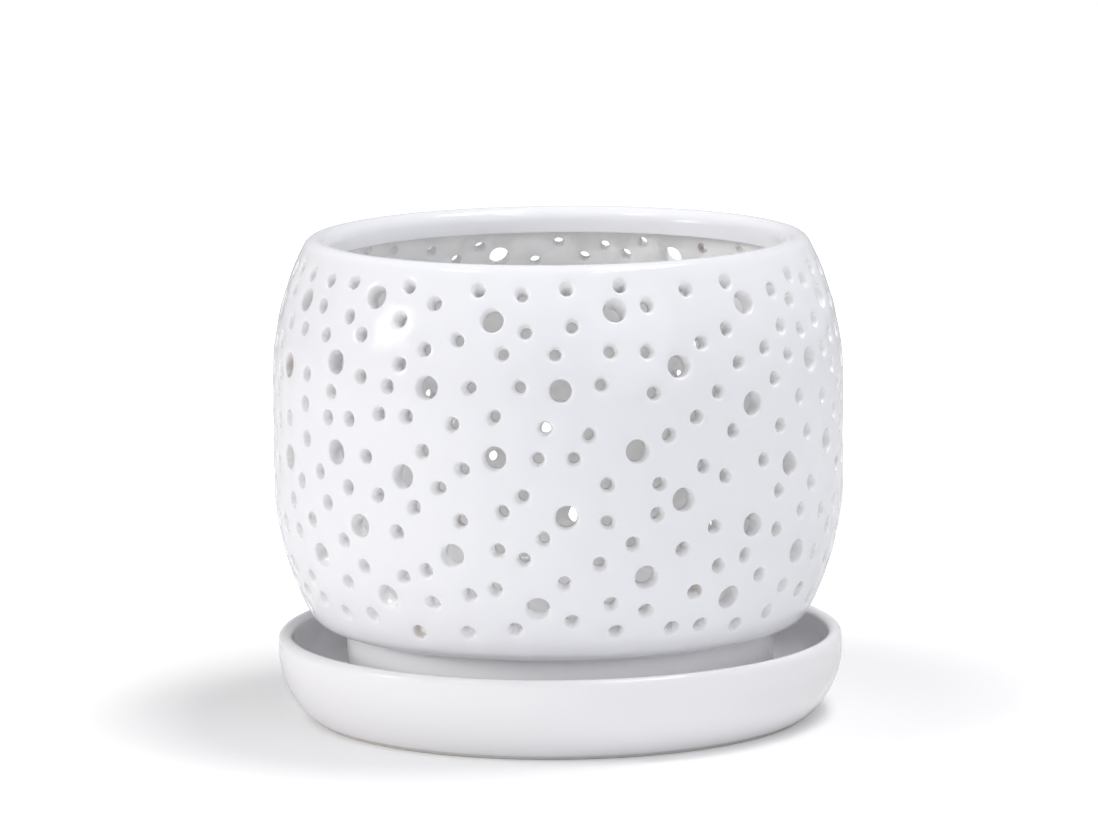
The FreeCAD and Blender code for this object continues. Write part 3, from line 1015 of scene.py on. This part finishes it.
        # Random clouds of thinner glaze, and the painted light under the belly, mix in the paler glaze.
        colour = bench.blend(bench.math("MAXIMUM", cloud, painted_foot_share), colour, self.thin_glaze_and_painted_light)
        marks = bench.math("MAXIMUM", surface.outputs["Speck"], surface.outputs["Stain"])
        speck = bench.times(bench.times(marks, lining), self.stain_share)
        colour = bench.blend(speck, colour, self.stain)
        colour = bench.blend(bare, colour, self.clay)
        bump = bench.add("ShaderNodeBump", {
            "Height": surface.outputs["Height"],
            "Strength": 1.0,
            "Distance": 1.0,
        })
        shader = bench.add("ShaderNodeBsdfPrincipled", {
            "Base Color": colour,
            "Roughness": bench.math("MULTIPLY_ADD", bare, self.bare_roughness, self.roughness),
            "Normal": bump.outputs["Normal"],
        })
        bench.add("ShaderNodeOutputMaterial", {"Surface": shader.outputs[0]})
        log.info("glaze %s made", self.name)
        return made


@dataclass
class PotShell:
    """The pot: the pierced wall, its rolled rim, the drum-shaped foot, and the floor inside it."""

    wall: WallShape = field(default_factory=WallShape)
    rim_round: float = 4.0 * MM
    turn_round: float = 7.0 * MM
    ledge_height: float = 27.3 * MM
    foot_radius: float = 62.0 * MM
    foot_base: float = 5.0 * MM
    foot_ring_width: float = 7.0 * MM
    foot_recess: float = 2.0 * MM
    floor_thickness: float = 5.0 * MM
    drain_radius: float = 7.0 * MM
    corner_round: float = 1.5 * MM
    lip_edge_round: float = 0.7 * MM
    edge_round: float = 0.8 * MM
    notch_depth: float = 1.5 * MM
    notch_count: int = 3
    notch_half_width: float = 4.1 * MM
    dip_depth: float = 0.20 * MM
    dip_width: float = 1.5 * MM
    dip_fade: float = 1.5 * MM
    dip_reach: float = 8 * MM

    def rim(self) -> MeshData:
        """Return the rolled rim, from the wall's outer side over the top and under the lip."""
        wall, edge = self.wall, self.lip_edge_round
        reach = wall.radius - self.rim_round
        centre = (reach * math.cos(wall.high_tilt), wall.belly_high + reach * math.sin(wall.high_tilt))
        outline = arc(centre, self.rim_round, math.degrees(wall.high_tilt), 180, 15)
        lip = centre[0] - self.rim_round
        outline += arc((lip + edge, wall.lip_height + edge), edge, 180, 270, 4)
        inner = wall.radius - wall.thickness
        tilt = math.asin((wall.lip_height - wall.belly_high) / inner)
        last = (inner * math.cos(tilt), wall.lip_height)
        outline += [((outline[-1][0] + last[0]) / 2, wall.lip_height), last]
        return turned(outline, inside_from=len(outline) - 2)

    def base(self) -> MeshData:
        """Return the turn under the belly, the foot, the floor and the ledge inside."""
        wall, edge, corner = self.wall, self.edge_round, self.corner_round
        reach = wall.radius - self.turn_round
        centre = (reach * math.cos(wall.low_tilt), wall.belly_low + reach * math.sin(wall.low_tilt))
        under = centre[1] - self.turn_round
        foot = self.foot_radius
        ring = foot - self.foot_ring_width
        recess = self.foot_base + self.foot_recess
        floor = self.foot_base + self.floor_thickness
        well = foot - wall.thickness
        ledge = under + wall.thickness
        inner = wall.radius - wall.thickness
        last = (inner * math.cos(wall.low_tilt), wall.belly_low + inner * math.sin(wall.low_tilt))
        drain = self.drain_radius
        outline = arc(centre, self.turn_round, math.degrees(wall.low_tilt), -90, 6)
        outline += arc((foot + corner, under - corner), corner, 90, 180, 4)
        outline += [(foot, under - 3 * corner), (foot, self.foot_base + 4 * edge)]
        outline += arc((foot - edge, self.foot_base + edge), edge, 0, -90, 3)
        outline += [(ring + edge, self.foot_base)]
        outline += arc((ring + edge, self.foot_base + edge), edge, -90, -180, 2)[1:]
        outline += [(ring, recess), (ring - 2 * edge, recess), (drain + edge, recess)]
        outline += arc((drain + edge, recess + edge), edge, -90, -180, 2)[1:]
        outline += arc((drain + edge, floor - edge), edge, 180, 90, 2)
        floor_from = len(outline)
        outline += [(well - corner, floor)]
        outline += arc((well - corner, floor + corner), corner, -90, 0, 3)[1:]
        outline += arc((well + edge, ledge - edge), edge, 180, 90, 2)
        outline += [(last[0] - corner, ledge), (last[0] - 0.5 * corner, ledge + 0.25 * corner), last]
        return turned(outline, inside_from=floor_from)

    def cut_notches(self, base: MeshData) -> None:
        """Raise the foot ring's underside at the weep notches."""
        points = base.points
        turn = np.arctan2(points[:, 1], points[:, 0])
        step = math.tau / self.notch_count
        off = np.abs((turn + step / 2) % step - step / 2) * self.foot_radius
        ring = self.foot_radius - self.foot_ring_width
        reach = np.hypot(points[:, 0], points[:, 1])
        top = self.foot_base + self.notch_depth
        chosen = (off < self.notch_half_width) & (reach > ring - 0.1 * MM) & (points[:, 2] < top)
        points[chosen, 2] = top

    def sink_round_holes(self, mesh: bpy.types.Mesh, holes: AirHoles) -> None:
        """Let the glaze dip gently round each air hole."""
        wall = self.wall
        spots, edge = holes.laid_out(holes.centres)
        tree = point_tree(wall.place(spots[:, 0], spots[:, 1], 0.0))
        flat = np.empty(len(mesh.vertices) * 3)
        mesh.vertices.foreach_get("co", flat)
        points = flat.reshape(-1, 3)
        azimuth, climb, depth = wall.unwrap(points)
        surface = wall.place(azimuth, climb, 0.0)
        chosen = (depth < self.dip_fade) & (climb < wall.climb_high) & (climb > wall.climb_low)
        for index in np.nonzero(chosen)[0]:
            off = 1.0
            for _, number, distance in tree.find_range(surface[index], self.dip_reach):
                off = min(off, max(distance - edge[number], 0.0))
            fade = 1 - depth[index] / self.dip_fade
            dip = self.dip_depth * math.exp(-((off / self.dip_width) ** 2)) * min(fade, 1.0)
            middle = np.array([0, 0, min(max(points[index, 2], wall.belly_low), wall.belly_high)])
            outward = points[index] - middle
            points[index] -= outward / np.linalg.norm(outward) * dip
        mesh.vertices.foreach_set("co", points.reshape(-1))
        mesh.update()

    def build(self, glaze: bpy.types.Material) -> bpy.types.Object:
        """Return the dressed pot, standing in for its solid.

        Args:
            glaze: the pot's material.

        Returns:
            The pot as one closed piece that rides on its own body.
        """
        holes = AirHoles(self.wall)
        holes.scatter()
        pieces = holes.make_linings(glaze)
        pieces.append(WallSkin(self.wall, holes, False, 3.6 * MM).build())
        pieces.append(WallSkin(self.wall, holes, True, 5.0 * MM).build())
        base = self.base()
        self.cut_notches(base)
        pieces += [self.rim(), base]
        mesh = joined_mesh("pot_shell", pieces)
        self.sink_round_holes(mesh, holes)
        piece = new_piece("pot_shell", mesh)
        mesh.materials.append(glaze)
        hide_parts("pot")
        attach(piece, "pot")
        log.info("pot shell made")
        return piece


@dataclass
class SaucerBowl:
    """The saucer: a shallow loose bowl with a thick rounded rim and a low foot ring."""

    radius: float = 81.9 * MM
    height: float = 24.3 * MM
    rim_round: float = 2.05 * MM
    curve_radius: float = 23.5 * MM
    curve_height: float = 19.0 * MM
    bowl_radius: float = 15.5 * MM
    floor_height: float = 5.0 * MM
    ring_radius: float = 72.2 * MM
    ring_width: float = 4.8 * MM
    ring_height: float = 0.8 * MM
    recess_depth: float = 1.2 * MM
    edge_round: float = 0.3 * MM

    def outline(self) -> list[Pair]:
        """Return the outline from the middle of the underside to the middle of the floor."""
        edge = self.edge_round
        ring_inside = self.ring_radius - self.ring_width
        curve_x = self.radius - self.curve_radius
        drop = self.curve_height - self.ring_height
        start = -math.degrees(math.asin(drop / self.curve_radius))
        rim = (self.radius - self.rim_round, self.height - self.rim_round)
        bowl = (self.radius - 2 * self.rim_round - self.bowl_radius, self.floor_height + self.bowl_radius)
        recess = self.recess_depth
        points = [(0.0, recess), (30 * MM, recess), (ring_inside - edge, recess)]
        points += [(ring_inside, recess - 0.5 * edge), (ring_inside, edge)]
        points += arc((ring_inside + edge, edge), edge, 180, 270, 2)[1:]
        points += arc((self.ring_radius - edge, edge), edge, -90, 0, 3)
        points += arc((self.ring_radius + edge, self.ring_height - edge), edge, 180, 90, 3)
        points += arc((curve_x, self.curve_height), self.curve_radius, start, 0, 14)
        points += arc(rim, self.rim_round, 0, 180, 14)
        points += arc(bowl, self.bowl_radius, 0, -90, 12)
        points += [(50 * MM, self.floor_height), (25 * MM, self.floor_height), (0.0, self.floor_height)]
        return points

    def build(self, glaze: bpy.types.Material) -> bpy.types.Object:
        """Return the dressed saucer, standing in for its solid.

        Args:
            glaze: the saucer's material.

        Returns:
            The saucer as one closed piece that rides on its own body.
        """
        mesh = joined_mesh("saucer_bowl", [turned(self.outline())])
        piece = new_piece("saucer_bowl", mesh)
        mesh.materials.append(glaze)
        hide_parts("saucer")
        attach(piece, "saucer")
        log.info("saucer bowl made")
        return piece


@dataclass(frozen=True)
class SoftBox:
    """A soft studio lamp that points at the pot.

    Args:
        name: the lamp's name.
        azimuth: degrees from the front towards the right.
        elevation: degrees above the pot's middle.
        distance: metres from the pot's middle.
        width: metres across.
        height: metres tall.
        power: watts.
        colour: colour of the light.
        is_mirrored: whether the glaze mirrors the lamp.
    """

    name: str
    azimuth: float
    elevation: float
    distance: float
    width: float
    height: float
    power: float
    colour: tuple[float, float, float]
    is_mirrored: bool = True

    def place(self) -> bpy.types.Object:
        """Return the lamp, standing in its place."""
        data = bpy.data.lights.new(self.name, "AREA")
        data.shape = "RECTANGLE"
        data.size = self.width
        data.size_y = self.height
        data.energy = self.power
        data.color = self.colour
        lamp = bpy.data.objects.new(self.name, data)
        lamp.visible_glossy = self.is_mirrored
        bpy.context.scene.collection.objects.link(lamp)
        turn, rise = math.radians(self.azimuth), math.radians(self.elevation)
        flat = math.cos(rise)
        away = Vector((math.sin(turn) * flat, -math.cos(turn) * flat, math.sin(rise)))
        lamp.location = Vector((0, 0, AIM_HEIGHT)) + away * self.distance
        lamp.rotation_mode = "QUATERNION"
        lamp.rotation_quaternion = (-away).to_track_quat("-Z", "Y")
        log.info("lamp %s placed", self.name)
        return lamp


@dataclass
class Studio:
    """The pale floor, the sky, the lamps and the camera."""

    floor_size: float = 6.0
    floor_colour: Colour = (0.85, 0.85, 0.85, 1.0)
    fill: float = 0.28
    fill_colour: Colour = (0.955, 0.955, 1.0, 1.0)
    mirrored_share: float = 0.15
    backdrop_share: float = 0.45
    backdrop_from: float = 0.2
    backdrop_to: float = 0.9
    # The floor's glow to the camera is dimmer near the pot than far off: painted darkening round the pot,
    # which deepens its real shadow.
    painted_dim_near_glow: float = 0.18
    far_glow: float = 0.75
    glow_from: float = 0.105
    glow_to: float = 0.25
    camera_place: tuple[float, float, float] = (0.0, -1.7864, 0.3618)
    camera_target: tuple[float, float, float] = (0.0, 0.0, 0.0690)
    camera_roll: float = -0.529
    lens: float = 204.7
    shift: tuple[float, float] = (-0.0089, 0.0578)
    lamps: tuple[SoftBox, ...] = (
        SoftBox("right_softbox", 31, 19, 1.2, 0.67, 0.75, 1.4, (0.90, 0.93, 1.0)),
        SoftBox("left_softbox", -74, 18.5, 1.3, 0.28, 0.20, 1.1, (1.0, 0.99, 0.98)),
        SoftBox("left_halo", -74, 18.5, 1.31, 0.46, 0.36, 0.8, (1.0, 0.99, 0.98)),
        SoftBox("broad_softbox", -65, 9, 2.4, 5.0, 2.2, 8.0, (1.0, 0.985, 0.97)),
        SoftBox("low_left_softbox", -64, 16, 2.2, 3.4, 0.6, 18.5, (1.0, 0.99, 0.98), False),
        SoftBox("low_right_softbox", 48, 14, 2.2, 2.4, 0.6, 6.5, (0.97, 0.98, 1.0), False),
        SoftBox("side_softbox", 98, 72, 1.2, 0.42, 0.42, 6.9, (1.0, 1.0, 1.0)),
        SoftBox("rim_strip_right", 34, 58, 1.2, 0.30, 0.07, 0.70, (1.0, 1.0, 1.0)),
        SoftBox("rim_strip_left", -62, 58, 1.2, 0.24, 0.10, 0.75, (1.0, 1.0, 1.0)),
    )

    def floor(self) -> bpy.types.Object:
        """Return the floor, white to the camera except for the pot's shadow and a painted darkening round
        the pot, where its glow is dimmer.
        """
        half = self.floor_size / 2
        mesh = bpy.data.meshes.new("studio_floor")
        corners = [(-half, -half, 0), (half, -half, 0), (half, half, 0), (-half, half, 0)]
        mesh.from_pydata(corners, [], [(0, 1, 2, 3)])
        floor = new_piece("studio_floor", mesh)
        material = bpy.data.materials.new("studio_floor")
        material.use_nodes = True
        material.node_tree.nodes.clear()
        bench = NodeBench(material.node_tree)
        paper = bench.add("ShaderNodeBsdfDiffuse", {"Color": self.floor_colour})
        white = (1.0, 1.0, 1.0, 1.0)
        glow = bench.add("ShaderNodeEmission", {"Color": white, "Strength": self.seen_glow(bench)})
        both = bench.add("ShaderNodeAddShader")
        bench.feed(paper.outputs[0], both.inputs[0])
        bench.feed(glow.outputs[0], both.inputs[1])
        bench.add("ShaderNodeOutputMaterial", {"Surface": both.outputs[0]})
        mesh.materials.append(material)
        log.info("floor laid")
        return floor

    def seen(self, bench: NodeBench, mirrored: object) -> Socket:
        """Return how far a ray sees the floor and the backdrop as white.

        Args:
            bench: the node tree to work in.
            mirrored: how far a ray off the glaze sees it.

        Returns:
            1 for a ray from the camera, the mirrored share for one off the glaze, otherwise 0.
        """
        path = bench.add("ShaderNodeLightPath").outputs
        glossy = bench.times(path["Is Glossy Ray"], mirrored)
        direct = bench.math("MAXIMUM", path["Is Camera Ray"], glossy)
        return bench.math("MAXIMUM", direct, path["Is Transmission Ray"])

    def seen_glow(self, bench: NodeBench) -> Socket:
        """Return how much the floor adds for a ray from the camera or off a glossy surface, less near the
        pot, as painted darkening round it.
        """
        x, y, _ = bench.parts(bench.add("ShaderNodeTexCoord").outputs["Object"])
        ends = (self.glow_from, self.glow_to, self.painted_dim_near_glow, self.far_glow)
        # Painted darkening: the glow rises from dim near the pot to full far off.
        glow = bench.spread(bench.reach(x, y), *ends)
        return bench.times(self.seen(bench, self.mirrored_share), glow)

    def sky(self) -> None:
        """Set the even light from all round, and the white that the camera sees behind."""
        world = bpy.data.worlds.new("studio_world")
        world.use_nodes = True
        world.node_tree.nodes.clear()
        bench = NodeBench(world.node_tree)
        _, backwards, _ = bench.parts(bench.add("ShaderNodeTexCoord").outputs["Generated"])
        ends = (self.backdrop_from, self.backdrop_to, self.mirrored_share, self.backdrop_share)
        seen = self.seen(bench, bench.spread(backwards, *ends))
        strength = bench.math("MULTIPLY_ADD", seen, 1.0 - self.fill, self.fill)
        tone = bench.blend(seen, self.fill_colour, (1.0, 1.0, 1.0, 1.0))
        back = bench.add("ShaderNodeBackground", {"Color": tone, "Strength": strength})
        bench.add("ShaderNodeOutputWorld", {"Surface": back.outputs[0]})
        bpy.context.scene.world = world

    def camera(self) -> bpy.types.Object:
        """Return the camera at the photo's angle."""
        data = bpy.data.cameras.new("studio_camera")
        data.lens = self.lens
        data.sensor_width = 36.0
        data.shift_x, data.shift_y = self.shift
        data.clip_end = 50.0
        data.dof.use_dof = False
        camera = bpy.data.objects.new("studio_camera", data)
        bpy.context.scene.collection.objects.link(camera)
        camera.location = self.camera_place
        aim = (Vector(self.camera_target) - camera.location).to_track_quat("-Z", "Y")
        camera.rotation_mode = "QUATERNION"
        camera.rotation_quaternion = aim @ Quaternion((0, 0, 1), math.radians(self.camera_roll))
        bpy.context.scene.camera = camera
        return camera

    def build(self) -> None:
        """Set up the whole studio."""
        self.sky()
        self.floor()
        for lamp in self.lamps:
            lamp.place()
        self.camera()
        bpy.context.scene.view_settings.view_transform = "Standard"
        log.info("studio built")


def main() -> None:
    """Build the pot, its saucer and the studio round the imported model."""
    logging.basicConfig(level=logging.INFO, format="%(name)s: %(message)s")
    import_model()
    Studio().build()
    PotShell().build(Glaze("pot_glaze_white").material())
    saucer_glaze = Glaze(
        "saucer_glaze_white",
        colour=(0.925, 0.915, 0.93, 1.0),
        # The saucer's painted light level further down inside, paler than the pot's.
        deep=(0.975, 0.97, 0.965, 1.0),
        bare_height=0.35 * MM,
        bare_radius=72.5 * MM,
        # No painted light under the saucer.
        painted_foot_lightness=0.0,
    )
    SaucerBowl().build(saucer_glaze.material())
    log.info("sizes written")


if __name__ == "__main__":
    main()
